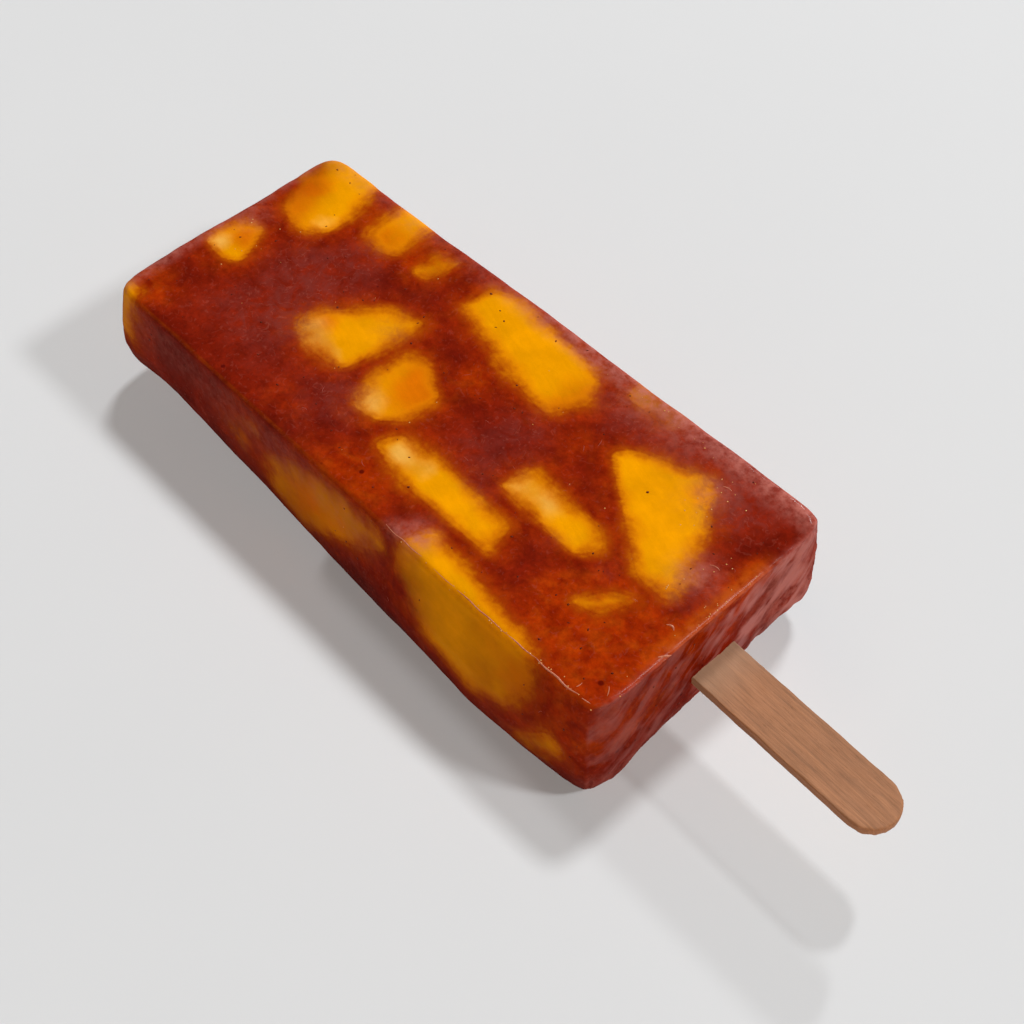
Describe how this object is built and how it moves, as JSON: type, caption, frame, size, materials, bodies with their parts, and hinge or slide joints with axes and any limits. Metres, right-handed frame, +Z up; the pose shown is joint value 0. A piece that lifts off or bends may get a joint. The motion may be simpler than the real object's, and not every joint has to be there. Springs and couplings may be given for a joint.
{
  "type": "ice lolly",
  "caption": "Rectangular fruit ice lolly lying on its broad face: dark red berry ice with yellow mango pieces set flush in it, on a flat round-ended wooden stick.",
  "frame": {"origin": "middle of the whole lolly's footprint, on the surface it lies on", "axes": "+X from the tip towards the stick's end, +Y across the block towards its smoother long side, +Z up, out of the face that shows the most fruit"},
  "size_m": [0.1622, 0.0582, 0.0275],
  "materials": {
    "berry_ice": "wet, glossy frozen berry puree",
    "mango": "wet cut mango flesh",
    "birch_wood": "sawn, unfinished"
  },
  "bodies": {
    "root": {"ice_body": "berry_ice", "stick": "birch_wood", "mango_top_01": "mango", "mango_top_02": "mango", "mango_top_03": "mango", "mango_top_04": "mango", "mango_top_05": "mango", "mango_top_06": "mango", "mango_top_07": "mango", "mango_top_08": "mango", "mango_top_09": "mango", "mango_top_10": "mango", "mango_top_11": "mango", "mango_near_01": "mango", "mango_near_02": "mango", "mango_near_03": "mango", "mango_near_04": "mango", "mango_near_05": "mango", "mango_far_01": "mango", "mango_far_02": "mango", "mango_far_03": "mango", "mango_tip_01": "mango", "mango_tip_02": "mango", "mango_under_01": "mango", "mango_under_02": "mango", "mango_under_03": "mango", "mango_under_04": "mango", "mango_under_05": "mango", "mango_under_06": "mango", "mango_under_07": "mango", "mango_under_08": "mango"}
  },
  "joints": []
}
